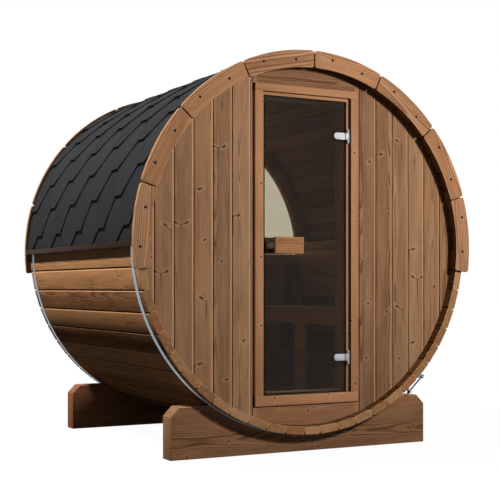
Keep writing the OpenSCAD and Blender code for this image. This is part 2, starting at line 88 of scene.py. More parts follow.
class Paint:
    """A material, or the world, and short calls that add nodes to it."""

    def __init__(self, name, world=False):
        self.made = (bpy.data.worlds if world else bpy.data.materials).new(name)
        self.made.use_nodes = True
        self.tree = self.made.node_tree
        self.tree.nodes.clear()
        self.output = self.tree.nodes.new("ShaderNodeOutputWorld" if world else "ShaderNodeOutputMaterial")

    def put(self, value, socket):
        if isinstance(value, bpy.types.NodeSocket):
            self.tree.links.new(value, socket)
        else:
            socket.default_value = value

    def node(self, kind, inputs=None, **settings):
        made = self.tree.nodes.new(kind)
        for key, value in settings.items():
            setattr(made, key, value)
        for key, value in (inputs or {}).items():
            self.put(value, made.inputs[key])
        return made

    def math(self, operation, *values, clamp=False):
        made = self.node("ShaderNodeMath", operation=operation, use_clamp=clamp)
        for socket, value in zip(made.inputs, values):
            self.put(value, socket)
        return made.outputs[0]

    def add(self, a, b, clamp=False):
        return self.math("ADD", a, b, clamp=clamp)

    def sub(self, a, b, clamp=False):
        return self.math("SUBTRACT", a, b, clamp=clamp)

    def mul(self, a, b, clamp=False):
        return self.math("MULTIPLY", a, b, clamp=clamp)

    def div(self, a, b):
        return self.math("DIVIDE", a, b)

    def length(self, a, b):
        return self.math("SQRT", self.add(self.mul(a, a), self.mul(b, b)))

    def vector(self, x, y, z):
        return self.node("ShaderNodeCombineXYZ", {"X": x, "Y": y, "Z": z}).outputs[0]

    def vector_math(self, operation, a, b):
        return self.node("ShaderNodeVectorMath", {0: a, 1: b}, operation=operation).outputs[0]

    def axes(self, vector):
        return self.node("ShaderNodeSeparateXYZ", {0: vector}).outputs

    def channels(self, colour):
        return self.node("ShaderNodeSeparateColor", {0: colour}).outputs

    def chances(self, board):
        """Three random numbers for each board."""
        white = self.node("ShaderNodeTexWhiteNoise", {"W": board}, noise_dimensions="1D")
        return self.channels(white.outputs["Color"])

    def attribute(self, name, output="Fac"):
        return self.node("ShaderNodeAttribute", attribute_name=name).outputs[output]

    def place(self):
        return self.node("ShaderNodeTexCoord").outputs["Object"]

    def step(self, value, low, high, to_low=0.0, to_high=1.0, kind="SMOOTHSTEP"):
        """value, smoothly taken from the range low..high to to_low..to_high."""
        made = self.node("ShaderNodeMapRange", interpolation_type=kind)
        for key, number in zip(("Value", "From Min", "From Max", "To Min", "To Max"),
                               (value, low, high, to_low, to_high)):
            self.put(number, made.inputs[key])
        return made.outputs[0]

    def spread(self, value, to_low, to_high, low=0.0, high=1.0):
        """value, linearly taken from the range low..high to to_low..to_high."""
        return self.step(value, low, high, to_low, to_high, "LINEAR")

    def middle(self, noise, to_low, to_high):
        """A noise, which stays mostly between a quarter and three quarters, taken to to_low..to_high."""
        return self.spread(noise, to_low, to_high, 0.25, 0.75)

    def noise(self, vector, scale=1.0, detail=2.0, roughness=0.5):
        made = self.node("ShaderNodeTexNoise",
                         {"Vector": vector, "Scale": scale, "Detail": detail, "Roughness": roughness})
        return made.outputs["Fac"]

    def mix(self, factor, a, b, blend="MIX"):
        made = self.node("ShaderNodeMix", data_type="RGBA", blend_type=blend, clamp_factor=True)
        self.put(factor, made.inputs[0])
        self.put(a, made.inputs[6])
        self.put(b, made.inputs[7])
        return made.outputs[2]

    def bump(self, height, distance):
        return self.node("ShaderNodeBump", {"Height": height, "Distance": distance}).outputs["Normal"]

    def seen(self):
        """1 for what the camera sees, straight or mirrored or through glass, and 0 for light on its way."""
        rays = self.node("ShaderNodeLightPath").outputs
        direct = self.math("MAXIMUM", rays["Is Camera Ray"], rays["Is Glossy Ray"])
        return self.math("MAXIMUM", direct, rays["Is Transmission Ray"])

    def blend(self, factor, a, b):
        return self.node("ShaderNodeMixShader", {0: factor, 1: a.outputs[0], 2: b.outputs[0]})

    def finish(self, shader):
        self.tree.links.new(shader.outputs[0], self.output.inputs["Surface"])
        return self.made

    def surface(self, colour, rough, specular, normal, metallic=0.0):
        return self.finish(self.node("ShaderNodeBsdfPrincipled", {
            "Base Color": colour, "Roughness": rough, "Specular IOR Level": specular,
            "Normal": normal, "Metallic": metallic}))


def rgb(r, g, b):
    """An sRGB colour given in 0..255 as the linear colour that a shader takes."""
    def linear(v):
        v /= 255
        return v / 12.92 if v <= 0.04045 else ((v + 0.055) / 1.055) ** 2.4
    return (linear(r), linear(g), linear(b), 1.0)


def toned(colour, factor):
    """The colour, darker or lighter."""
    return tuple(min(1.0, c * factor) for c in colour[:3]) + (1.0,)


# ---------- materials ----------


FAR = 9.0  # a distance, in knot radii, at which no knot shows
PAIR_X, PAIR_Y = 0.50, 0.86  # the way in which the knots of a pair lean


def wood(name, light, dark, knots=0.5, pairs=0.35, cell=(210 * MM, 112 * MM), ring=4.5 * MM,
         streaks=0.5, contrast=0.5, tint=0.18, edge_wear_and_highlight=0.35, knot_size=1.0,
         pith=(-70 * MM, 70 * MM), gloss=0.06):
    """Sawn conifer wood in three dimensions.

    The mesh gives each point its place in its board, and each board a number. knots and pairs are
    the shares of cells with a knot and with a pair.
    """
    p = Paint(name)
    board = p.attribute("board")
    along, across, depth = p.axes(p.attribute("grain", "Vector"))
    chance = p.chances(board)
    shift = p.mul(board, 91.7)

    # knots: at most one in each cell of a coarse grid along the board
    cell_len, cell_wide = cell
    grid = p.vector(p.add(p.div(along, cell_len), shift), p.add(p.div(across, cell_wide), 0.5), 0.0)
    cells = p.node("ShaderNodeTexVoronoi", {"Vector": grid, "Scale": 1.0, "Randomness": 0.8},
                   voronoi_dimensions="2D", feature="F1")
    lucky = p.channels(cells.outputs["Color"])
    away = p.vector_math("SUBTRACT", grid, cells.outputs["Position"])
    away = p.vector_math("MULTIPLY", away, (cell_len, cell_wide, 0.0))
    ripple = p.noise(p.vector_math("MULTIPLY", away, (110, 110, 0)))
    off = p.axes(away)
    present = p.math("LESS_THAN", lucky[0], knots)
    paired = p.mul(p.math("LESS_THAN", lucky[2], pairs), present)
    single = p.sub(present, paired)
    # a single knot is an oval, turned and drawn out by chance
    turned = p.axes(p.node("ShaderNodeVectorRotate", {"Vector": away, "Angle": p.spread(lucky[2], -1.2, 1.2)},
                           rotation_type="Z_AXIS").outputs[0])
    slim = p.spread(lucky[1], 1.0, 2.4)
    oval = p.length(p.mul(turned[0], slim), turned[1])
    size = p.spread(lucky[1], 3.0 * MM * knot_size, 12.0 * MM * knot_size)
    near_one = p.div(p.mul(oval, p.spread(ripple, 0.7, 1.3)), size)
    near_one = p.add(near_one, p.spread(single, FAR, 0.0))
    # a pair of knots leans away from the pith on both sides, with a dark line to each and a pith streak below
    side = p.math("ABSOLUTE", off[1])
    arm_u = p.sub(off[0], p.spread(lucky[1], 5.0 * MM * knot_size, 17.0 * MM * knot_size))
    arm_v = p.sub(side, 24.0 * MM * knot_size)
    lean_u = p.add(p.mul(arm_u, PAIR_X), p.mul(arm_v, PAIR_Y))
    lean_v = p.sub(p.mul(arm_v, PAIR_X), p.mul(arm_u, PAIR_Y))
    arm = p.length(p.div(lean_u, 2.3), lean_v)
    near_two = p.div(p.mul(arm, p.spread(ripple, 0.6, 1.4)), 5.0 * MM * knot_size)
    right = p.math("GREATER_THAN", off[1], 0.0)
    alone = p.add(p.mul(p.math("LESS_THAN", lucky[1], 0.3), p.sub(1.0, right)),
                  p.mul(p.math("GREATER_THAN", lucky[1], 0.7), right))
    near_two = p.add(near_two, p.mul(p.add(p.sub(1.0, paired), alone), FAR))
    near = p.math("MINIMUM", near_one, near_two)
    size = p.mul(size, present)
    knot = p.step(near, 1.1, 0.6)
    halo = p.sub(p.step(near, 3.0, 1.2), knot, clamp=True)
    push = p.mul(p.step(near, 3.6, 0.4), p.mul(size, 1.2))
    bar = p.math("ABSOLUTE", p.sub(off[0], p.mul(side, 0.43)))
    bar = p.mul(p.step(bar, 3.2 * MM, 0.8 * MM), p.step(side, 25.0 * MM * knot_size, 17.0 * MM * knot_size))
    bar = p.mul(bar, p.sub(1.0, alone))
    reach = p.spread(lucky[0], -60 * MM, -190 * MM, 0.0, knots)
    taper = p.mul(p.sub(1.0, p.div(off[0], reach)), 4.2 * MM)
    thread = p.mul(p.math("LESS_THAN", off[0], 5 * MM), p.math("GREATER_THAN", off[0], reach))
    waver = p.add(off[1], p.spread(p.noise(p.vector(p.mul(along, 22.0), shift, 0.0)), -3 * MM, 3 * MM))
    thread = p.mul(thread, p.step(p.div(p.math("ABSOLUTE", waver), taper), 1.1, 0.2))
    lines = p.mul(p.math("MAXIMUM", bar, thread), paired)

    # growth rings round a pith that lies off the board's face
    drift = p.noise(p.vector(p.mul(along, 1.3), p.mul(across, 3.0), shift))
    radius = p.length(p.sub(across, p.spread(chance[0], *pith)),
                      p.sub(depth, p.spread(chance[1], 14 * MM, 60 * MM)))
    radius = p.add(radius, p.spread(drift, -16 * MM, 16 * MM))
    radius = p.add(radius, p.mul(along, p.spread(chance[2], -0.012, 0.012)))
    radius = p.add(radius, push)
    ring_t = p.math("FRACT", p.div(radius, ring))
    late = p.mul(p.step(ring_t, 0.25, 0.9), p.step(ring_t, 1.0, 0.93))
    year = p.noise(p.vector(p.div(radius, ring * 2.2), shift, 0.0), 1.0, 1.0)
    late = p.mul(late, p.spread(year, 0.35, 1.25))

    # fine fibres, wide soft patches and thin dark streaks, all stretched along the board
    def stretched(lengthways, crossways, inwards, detail, roughness):
        x, y, z = p.mul(along, lengthways), p.mul(across, crossways), p.add(p.mul(depth, inwards), shift)
        return p.noise(p.vector(x, y, z), 1.0, detail, roughness)

    fibre = stretched(9.0, 620.0, 620.0, 3.0, 0.6)
    patch = stretched(2.2, 22.0, 22.0, 3.0, 0.6)
    vein = stretched(5.5, 130.0, 90.0, 2.0, 0.5)
    streak = p.mul(p.step(vein, 0.66, 0.76), streaks)

    tone = p.mul(late, contrast)
    tone = p.add(tone, p.middle(fibre, -0.16, 0.16))
    tone = p.add(tone, p.middle(patch, -0.24, 0.24))
    tone = p.add(tone, p.spread(chance[1], -tint * 1.6, tint * 1.6))
    tone = p.add(tone, 0.32, clamp=True)
    colour = p.mix(tone, light, dark)
    warm = p.mix(p.spread(chance[0], 0.0, 0.5), colour, (1.12, 0.98, 0.86, 1.0), "MULTIPLY")
    colour = p.mix(p.mul(halo, 0.28), warm, toned(light, 1.3))
    thin = p.math("MAXIMUM", p.mul(streak, 0.75), p.mul(lines, 0.8))
    colour = p.mix(thin, colour, toned(dark, 0.3))
    # painted shade: faces marked with the shade attribute (joints, grooves, reveals and hidden faces) darken
    # towards near black
    colour = p.mix(p.attribute("shade"), colour, (0.1, 0.08, 0.07, 1.0), "MULTIPLY")
    core = p.mix(p.step(near, 0.75, 0.2), toned(dark, 0.16), toned(dark, 0.5))
    colour = p.mix(p.mul(knot, 0.9), colour, core)
    # lighter arrises on faces marked with the edge attribute: partly wear, partly a painted highlight
    wear_and_highlight = p.mul(p.attribute("edge"), p.middle(patch, 0.4 * edge_wear_and_highlight, 1.6 * edge_wear_and_highlight), clamp=True)
    colour = p.mix(wear_and_highlight, colour, toned(light, 1.45))

    height = p.sub(p.mul(fibre, 0.8), p.mul(late, 0.35))
    height = p.sub(height, p.mul(knot, 0.5))
    height = p.sub(height, p.mul(streak, 0.5))
    return p.surface(colour, p.spread(fibre, 0.52, 0.76), gloss, p.bump(height, 0.5 * MM))


def end_wood(name, light, dark):
    """Sawn board ends: arcs of growth rings, soft clouds and small pores."""
    p = Paint(name)
    board = p.attribute("board")
    _, across, depth = p.axes(p.attribute("grain", "Vector"))
    chance = p.chances(board)
    place = p.vector(across, depth, p.mul(board, 57.0))
    radius = p.length(p.sub(across, p.spread(chance[0], -60 * MM, 60 * MM)),
                      p.sub(depth, p.spread(chance[1], 20 * MM, 70 * MM)))
    radius = p.add(radius, p.spread(p.noise(place, 14.0), -6 * MM, 6 * MM))
    ring_t = p.math("FRACT", p.div(radius, 3.2 * MM))
    late = p.mul(p.step(ring_t, 0.3, 0.9), p.step(ring_t, 1.0, 0.92))
    pores = p.noise(place, 900.0, 2.0, 0.7)
    cloud = p.noise(place, 45.0, 3.0, 0.6)
    tone = p.add(p.mul(late, 0.42), p.middle(cloud, -0.28, 0.28))
    tone = p.add(tone, p.middle(pores, -0.2, 0.2))
    tone = p.add(tone, p.spread(chance[2], -0.05, 0.55))
    colour = p.mix(p.add(tone, 0.0, clamp=True), light, dark)
    colour = p.mix(p.step(chance[0], 0.93, 0.95, 0.0, 0.35), colour, rgb(160, 92, 60))
    relief = p.bump(p.add(pores, p.mul(late, 0.4)), 0.4 * MM)
    return p.surface(colour, p.spread(pores, 0.7, 0.92), 0.05, relief)


def shingle():
    """Bitumen faced with fine charcoal stone chips."""
    p = Paint("shingle_chips")
    place = p.place()
    chips = p.node("ShaderNodeTexVoronoi", {"Vector": place, "Scale": 420.0}, feature="F1")
    grey = p.channels(chips.outputs["Color"])[0]
    cloud = p.noise(place, 7.0, 4.0, 0.6)
    tone = p.add(p.mul(grey, 0.55), p.mul(cloud, 0.45))
    tone = p.add(tone, p.spread(p.attribute("board"), -0.12, 0.12), clamp=True)
    colour = p.mix(tone, rgb(21, 21, 23), rgb(44, 45, 48))
    relief = p.bump(p.sub(1.0, chips.outputs["Distance"]), 0.6 * MM)
    return p.surface(colour, p.spread(grey, 0.72, 0.95), 0.05, relief)


def black(name, scale, dark, light, dullest, relief):
    """Dull black: on a shingle its cut edges and a thin strip beside them, which are bitumen and partly a
    painted shadow line; or rubber.
    """
    p = Paint(name)
    speck = p.noise(p.place(), scale)
    return p.surface(p.mix(speck, dark, light), p.spread(speck, 0.6, dullest), 0.1, p.bump(speck, relief))


def metal(name, colour, rough, brushed=0.3, axis=(600, 30, 600), metallic=1.0, spots=0.0, specular=0.5):
    """Bare or coated metal with drawn lines along one way and faint handling marks."""
    p = Paint(name)
    place = p.place()
    lines = p.noise(p.vector_math("MULTIPLY", place, axis))
    marks = p.noise(place, 24.0, 4.0, 0.65)
    tone = p.add(p.middle(lines, -brushed, brushed), p.middle(marks, -spots, spots))
    colour = p.mix(p.add(tone, 0.5, clamp=True), toned(colour, 0.72), colour)
    rough = p.middle(marks, rough - 0.06, rough + 0.1)
    return p.surface(colour, rough, specular, p.bump(lines, 0.05 * MM), metallic)


def glass(name, tint):
    """Bronze glass that lets lamps through."""
    p = Paint(name)
    smear = p.noise(p.place(), 6.0, 3.0, 0.6)
    pane = p.node("ShaderNodeBsdfPrincipled", {
        "Base Color": tint, "Transmission Weight": 1.0, "Roughness": p.spread(smear, 0.005, 0.015), "IOR": 1.2})
    clear = p.node("ShaderNodeBsdfTransparent", {"Color": tuple(c ** 0.5 for c in tint[:3]) + (1.0,)})
    shadow = p.node("ShaderNodeLightPath").outputs["Is Shadow Ray"]
    return p.finish(p.blend(shadow, pane, clear))


STAVE_WOOD = wood("stave_boards", rgb(190, 142, 100), rgb(112, 71, 45), knots=0.6, pairs=0.4, tint=0.22,
                  edge_wear_and_highlight=0.7, gloss=0.0)
END_WOOD = end_wood("sawn_ends", rgb(186, 142, 99), rgb(120, 78, 47))
WALL_WOOD = wood("wall_boards", rgb(176, 136, 101), rgb(100, 68, 47), knots=0.65, pairs=0.5, tint=0.12,
                 streaks=0.9, cell=(270 * MM, 112 * MM), edge_wear_and_highlight=0.65, knot_size=1.3)
PANEL_WOOD = wood("lintel_boards", rgb(160, 118, 84), rgb(92, 61, 41), knots=0.6, tint=0.1)
FRAME_WOOD = wood("frame_timber", rgb(190, 142, 104), rgb(138, 92, 62), knots=0.8, pairs=0.0,
                  cell=(170 * MM, 60 * MM), knot_size=1.1, tint=0.05, streaks=0.2, contrast=0.3, edge_wear_and_highlight=0.2,
                  pith=(70 * MM, 130 * MM))
FASCIA_WOOD = wood("fascia_timber", rgb(198, 152, 112), rgb(126, 84, 56), knots=0.3, pairs=0.2, knot_size=0.7,
                   tint=0.12, contrast=0.7, ring=8.5 * MM, edge_wear_and_highlight=0.3)
CRADLE_END = end_wood("cradle_ends", rgb(144, 108, 75), rgb(94, 61, 38))
CRADLE_WOOD = wood("cradle_timber", rgb(164, 118, 84), rgb(88, 58, 39), knots=0.75, pairs=0.0,
                   cell=(190 * MM, 80 * MM), tint=0.1, edge_wear_and_highlight=0.5)
BATTEN_WOOD = wood("eave_batten", rgb(48, 31, 20), rgb(26, 16, 11), knots=0.2, tint=0.05, edge_wear_and_highlight=0.2)
HANDLE_WOOD = wood("handle_block", rgb(180, 132, 92), rgb(130, 88, 58), knots=0.0, tint=0.05, streaks=0.1)
# the inner handle block is a darker copy of the handle wood: painted shade, as it lies in the outer block's
# shadow
HANDLE_SHADE = wood("handle_block_inner_painted_shade", rgb(84, 60, 42), rgb(52, 36, 25), knots=0.0, tint=0.05, streaks=0.1)
BENCH_WOOD = wood("bench_boards", rgb(180, 136, 98), rgb(124, 86, 58), knots=0.3, tint=0.12)
SHINGLE = shingle()
SHINGLE_CUT_AND_SHADOW = black("shingle_cut_painted_shadow", 300.0, (0.0015, 0.0015, 0.0016, 1), (0.004, 0.004, 0.0042, 1), 0.9,
                    0.3 * MM)
BAND_STEEL = metal("band_zinc", rgb(160, 170, 178), 0.5, axis=(40, 900, 40), spots=0.25)
BOLT_BLACK = metal("bolt_black", rgb(22, 22, 24), 0.5, metallic=0.0, specular=0.15)
HINGE_METAL = metal("hinge_satin", rgb(176, 176, 178), 0.5, axis=(900, 900, 60), metallic=0.25)
POST_CHROME = metal("post_chrome", rgb(236, 238, 242), 0.3, brushed=0.1, metallic=0.2)
SMOKED = glass("smoked_glass", (0.66, 0.62, 0.53, 1.0))
GLASS_EDGE = metal("glass_edge", rgb(14, 14, 13), 0.6, metallic=0.0, specular=0.05)
GASKET = black("gasket_rubber", 500.0, (0.006, 0.006, 0.006, 1), (0.012, 0.012, 0.013, 1), 0.85,
               0.1 * MM)


# ---------- mesh helpers ----------

SLIVER = 0.01 * MM
WELD = 0.02 * MM
FLAT = math.radians(0.5)
SHARP = math.radians(35)


class Timber:
    """Collects boards into one mesh. Each point keeps its place in its board (along, across, depth)."""

    def __init__(self):
        self.points, self.grain = [], []
        self.faces, self.board, self.edge, self.slot, self.shade = [], [], [], [], []

    def loft(self, rings, grains, seed, edges=(), end_slot=0, shades=None):
        """A closed solid through rings of points.

        edges and shades name the ring positions of faces with wear and painted highlight and of faces with
        painted shade. -1 in shades is both ends.
        """
        shades = shades or {}
        start, count = len(self.points), len(rings[0])
        for ring, grain in zip(rings, grains):
            self.points += ring
            self.grain += grain
        for i in range(len(rings) - 1):
            low, high = start + i * count, start + (i + 1) * count
            for j in range(count):
                k = (j + 1) % count
                wear_and_highlight = j in edges or i in (0, len(rings) - 2) and len(rings) > 2
                self.add((low + j, low + k, high + k, high + j), seed, float(wear_and_highlight), 0, shades.get(j, 0.0))
        last = start + (len(rings) - 1) * count
        for end in (tuple(reversed(range(start, start + count))), tuple(range(last, last + count))):
            self.add(end, seed, 0.0, end_slot, shades.get(-1, 0.0))

    def plain(self, rings, seed=0.5):
        """A closed solid whose grain follows the part's own axes."""
        self.loft(rings, [[tuple(q) for q in ring] for ring in rings], seed)

    def add(self, face, seed, wear_and_highlight, slot, shade=0.0):
        self.shade.append(shade)
        self.faces.append(face)
        self.board.append(seed)
        self.edge.append(wear_and_highlight)
        self.slot.append(slot)

    def build(self, name, body, slot, materials, nodes=(), smooth=30):
        mesh = bpy.data.meshes.new(name)
        mesh.from_pydata([tuple(q) for q in self.points], [], self.faces)
        for key, values in (("board", self.board), ("edge", self.edge), ("shade", self.shade)):
            mesh.attributes.new(key, "FLOAT", "FACE").data.foreach_set("value", values)
        flat = [v for g in self.grain for v in g]
        mesh.attributes.new("grain", "FLOAT_VECTOR", "POINT").data.foreach_set("vector", flat)
        mesh.polygons.foreach_set("material_index", self.slot)
        bm = bmesh.new()
        bm.from_mesh(mesh)
        bmesh.ops.remove_doubles(bm, verts=bm.verts, dist=SLIVER)
        bmesh.ops.dissolve_degenerate(bm, edges=bm.edges, dist=SLIVER)
        bmesh.ops.recalc_face_normals(bm, faces=bm.faces)
        bm.to_mesh(mesh)
        bm.free()
        return place(name, mesh, body, slot, materials, nodes, smooth)


def add_object(name, data):
    made = bpy.data.objects.new(name, data)
    bpy.context.scene.collection.objects.link(made)
    return made


def place(name, mesh, body, slot, materials, nodes=(), smooth=30):
    """Makes the piece, gives it its finish and joins it to its body."""
    for material in materials:
        mesh.materials.append(material)
    mesh.shade_smooth()
    mesh.set_sharp_from_angle(angle=math.radians(smooth))
    piece = add_object(name, mesh)
    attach(piece, body)
    if nodes:
        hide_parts(*nodes)
    return piece


def islands(bm):
    """Groups of connected faces."""
    left, groups = set(bm.faces), []
    for first in bm.faces:
        if first not in left:
            continue
        group, stack = [], [first]
        left.discard(first)
        while stack:
            face = stack.pop()
            group.append(face)
            for e in face.edges:
                for other in e.link_faces:
                    if other in left:
                        left.discard(other)
                        stack.append(other)
        groups.append(group)
    return groups


def from_cad(node, name, body, slot, material, along, radius, segments=2, second=None, pick=None, shade=None,
             flat=None):
    """The CAD node's shape with rounded edges, and grain running along one axis (0, 1 or 2).

    pick says which faces take the second material, shade how much painted shade a face gets, and flat
    which axis is the board's depth.
    """
    bm = bmesh.new()
    bm.from_mesh(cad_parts[node].data)
    bmesh.ops.remove_doubles(bm, verts=bm.verts, dist=WELD)
    bmesh.ops.dissolve_limit(bm, angle_limit=FLAT, verts=bm.verts, edges=bm.edges)
    board = bm.faces.layers.float.new("board")
    edge = bm.faces.layers.float.new("edge")
    grain = bm.verts.layers.float_vector.new("grain")
    for group in islands(bm):
        seed = random.random()
        for face in group:
            face[board] = seed
    hard = [e for e in bm.edges if e.is_manifold and e.calc_face_angle(0) > SHARP]
    made = bmesh.ops.bevel(bm, geom=hard, offset=radius, segments=segments, profile=0.5,
                           affect="EDGES", clamp_overlap=True)
    bmesh.ops.dissolve_degenerate(bm, edges=bm.edges, dist=SLIVER)
    # the rounded edges get the lighter edge of the wood: partly wear, partly a painted highlight
    for face in [f for f in made["faces"] if f.is_valid]:
        face[edge] = 1.0
        face[board] = max((o[board] for e in face.edges for o in e.link_faces), default=face[board])
    across, depth = [(1, 2), (0, 2), (0, 1)][along]
    for group in islands(bm):
        verts = {v for f in group for v in f.verts}
        mid = sum((v.co for v in verts), Vector()) / len(verts)
        seed = max(f[board] for f in group)
        size = [max(v.co[i] for v in verts) - min(v.co[i] for v in verts) for i in range(3)]
        wide, thin = (across, depth) if size[across] >= size[depth] else (depth, across)
        if flat == wide:
            wide, thin = thin, wide
        for face in group:
            face[board] = seed
        for v in verts:
            off = v.co - mid
            v[grain] = Vector((v.co[along], off[wide], off[thin]))
    bmesh.ops.recalc_face_normals(bm, faces=bm.faces)
    dark = bm.faces.layers.float.new("shade")
    for face in bm.faces:
        if pick and pick(face):
            face.material_index = 1
        if shade:
            face[dark] = shade(face)
    mesh = bpy.data.meshes.new(name)
    bm.to_mesh(mesh)
    bm.free()
    return place(name, mesh, body, slot, [material, second] if second else [material], [node])


def at(radius, angle, y):
    """A point across the barrel, angle from +X towards the top."""
    return Vector((radius * math.cos(angle), y, CENTRE_Z + radius * math.sin(angle)))


# ---------- staves ----------

GAP = 3.2 * MM
ROUND = 4.5 * MM
GROOVE_DEPTH = 11 * MM
JOINT_GAP = 0.25 * MM
STAGGER = 0.8 * MM
# Painted shade: the joint grooves and the inner chamfers near black, the inner face darker.
GROOVE_SHADE, SIDE_SHADE, INSIDE_SHADE = 0.95, 0.97, 0.6


def stave_profile(width):
    """Half of a stave's cross-section, as (tangent, radius) from the outer face inwards."""
    slope = math.tan(width / 2)
    top = FACE_R
    side = top * slope - GAP
    half = [(side - ROUND, top)]
    for turn in (25, 50, 75):
        t = math.radians(turn)
        half.append((side - ROUND + ROUND * math.sin(t), top - ROUND + ROUND * math.cos(t)))
    half.append((side - 0.1 * MM, top - ROUND - 1 * MM))
    floor = top - GROOVE_DEPTH
    half.append((floor * slope - GAP, floor))
    half.append((floor * slope - JOINT_GAP, floor - 0.4 * MM))
    low = INNER_R + 3 * MM
    half.append((low * slope - JOINT_GAP, low))
    half.append((INNER_R * slope - 3 * MM, INNER_R))
    return half


def add_stave(timber, angle, width):
    half = stave_profile(width)
    ring = half + [(-t, r) for t, r in reversed(half)]
    count = len(half)
    # the rounded outer corners get the lighter edge, partly wear and partly a painted highlight; the joint
    # faces and the inner face get painted shade
    wear_and_highlight = {0, 1, 2 * count - 3, 2 * count - 2}
    shades = {count - 2: SIDE_SHADE, count - 1: INSIDE_SHADE, count: SIDE_SHADE}
    for j in (3, 4, 5):
        shades[j] = shades[2 * count - 2 - j] = GROOVE_SHADE
    out = Vector((math.cos(angle), 0, math.sin(angle)))
    side = Vector((-math.sin(angle), 0, math.cos(angle)))
    centre = Vector((0, 0, CENTRE_Z))
    seed = random.random()
    front = -HALF_LEN + random.uniform(0, STAGGER)
    back = HALF_LEN - random.uniform(0, STAGGER)
    mid_r = (FACE_R + INNER_R) / 2
    rings, grains = [], []
    chamfer = 1.6 * MM
    for y, inset in ((front, chamfer), (front + chamfer, 0), (back - chamfer, 0), (back, chamfer)):
        points, grain = [], []
        for t, r in ring:
            t -= math.copysign(inset, t)
            r -= math.copysign(inset, r - mid_r)
            points.append(centre + side * t + out * r + Vector((0, y, 0)))
            grain.append((y, t, mid_r - r))
        rings.append(points)
        grains.append(grain)
    timber.loft(rings, grains, seed, wear_and_highlight, end_slot=1, shades=shades)


def make_staves():
    """The six groups of staves, shared out as the CAD nodes are."""
    side_count = (STAVE_COUNT - 2) // 2
    sector = round(side_count / 6)
    middle = sector + round((side_count - 2 * sector) / 2)
    last = side_count - sector
    groups = [("staves_bottom", 1, sector, (1, -1)),
              ("staves_lower_left", sector + 1, middle, (-1,)),
              ("staves_lower_right", sector + 1, middle, (1,)),
              ("staves_upper_left", middle + 1, last, (-1,)),
              ("staves_upper_right", middle + 1, last, (1,)),
              ("staves_top", last + 1, side_count, (1, -1))]
    for node, first, final, sides in groups:
        timber = Timber()
        if node == "staves_bottom":
            add_stave(timber, -math.pi / 2, CLOSING)
        if node == "staves_top":
            add_stave(timber, math.pi / 2, PITCH)
        for k in range(first, final + 1):
            for s in sides:
                add_stave(timber, -math.pi / 2 + s * (CLOSING / 2 + (k - 0.5) * PITCH), PITCH)
        timber.build("boards_" + node, "sauna", "stave_wood", [STAVE_WOOD, END_WOOD], [node])


# ---------- end walls ----------

BEVEL_W, BEVEL_D = 9 * MM, 3.5 * MM
SLOT_W, SLOT_D = 3.6 * MM, 12 * MM
SLIT = 0.1 * MM
EASE = 1.2 * MM
STRIP_BACK = 5 * MM
# SLOT_SHADE is painted shade inside each board's groove.
SLOT_SHADE = 0.7


def board_section(x0, x1, face, back, out, bevel=True):
    """Points (x, y) across a board's show face and then its back, left to right. out is -1 when it faces -Y."""
    inward = -out
    front = [(x0, face + inward * EASE), (x0 + EASE, face)]
    steps = max(1, round((x1 - x0) / (14 * MM)))
    stop = x1 - SLOT_W - BEVEL_W if bevel else x1 - EASE
    for i in range(1, steps + 1):
        front.append((x0 + EASE + (stop - x0 - EASE) * i / steps, face))
    bevel_at = len(front) - 1
    if bevel:
        front.append((x1 - SLOT_W, face + inward * BEVEL_D))
        front.append((x1 - SLOT_W, face + inward * SLOT_D))
        front.append((x1, face + inward * SLOT_D))
    else:
        front.append((x1, face + inward * EASE))
    return front, [(x, back) for x, _ in front], bevel_at


def add_wall_board(timber, x0, x1, face, back, out, low, high, seed, bevel=True):
    """An upright board between the heights low(x) and high(x)."""
    front, rear, bevel_at = board_section(x0, x1, face, back, out, bevel)
    mid = (x0 + x1) / 2
    rows = []
    for level in (low, high):
        for line in (front, rear):
            rows.append(len(timber.points))
            for x, y in line:
                z = level(x)
                timber.points.append(Vector((x, y, z)))
                timber.grain.append((z, x - mid, abs(y - face)))
    front_low, rear_low, front_high, rear_high = rows
    for i in range(len(front) - 1):
        # the bevel gets the lighter edge, partly wear and partly a painted highlight; the groove faces behind
        # it get painted shade
        wear_and_highlight = 1.0 if bevel and i == bevel_at else 0.0
        dark = SLOT_SHADE if bevel and i > bevel_at else 0.0
        timber.add((front_low + i, front_low + i + 1, front_high + i + 1, front_high + i), seed, wear_and_highlight, 0, dark)
        for a, b in ((rear_high, rear_low), (rear_low, front_low), (front_high, rear_high)):
            timber.add((b + i + 1, b + i, a + i, a + i + 1), seed, 0.0, 0)
    for i in (0, len(front) - 1):
        timber.add((front_low + i, front_high + i, rear_high + i, rear_low + i), seed, 0.0, 0)


def arc_half(x):
    return math.sqrt(max(0.0, WALL_R * WALL_R - x * x))


def arc_low(x):
    return CENTRE_Z - arc_half(x)


def arc_high(x):
    return CENTRE_Z + arc_half(x)


def make_front_wall():
    """Upright boards left and right of the doorway, each with a bevel and a groove at its right."""
    face, back = WALL[0].y, WALL[1].y
    first = HOLE_X + POST_STRIP
    limit = WALL_R - 0.4 * MM
    for side, node in ((-1, "front_wall_left"), (1, "front_wall_right")):
        timber = Timber()
        x = first
        while x < limit:
            far = min(x + BOARD_PITCH, limit)
            x0, x1 = (x, far) if side > 0 else (-far, -x)
            add_wall_board(timber, x0 + SLIT, x1 - SLIT, face, back, -1, arc_low, arc_high, random.random(),
                           x1 < limit)
            x = far
        strip = (HOLE_X, first) if side > 0 else (-first, -HOLE_X)
        add_wall_board(timber, strip[0] + SLIT, strip[1] - SLIT, face + STRIP_BACK, back, -1, arc_low, arc_high,
                       random.random(), False)
        timber.build("boards_" + node, "sauna", "wall_wood", [WALL_WOOD], [node])


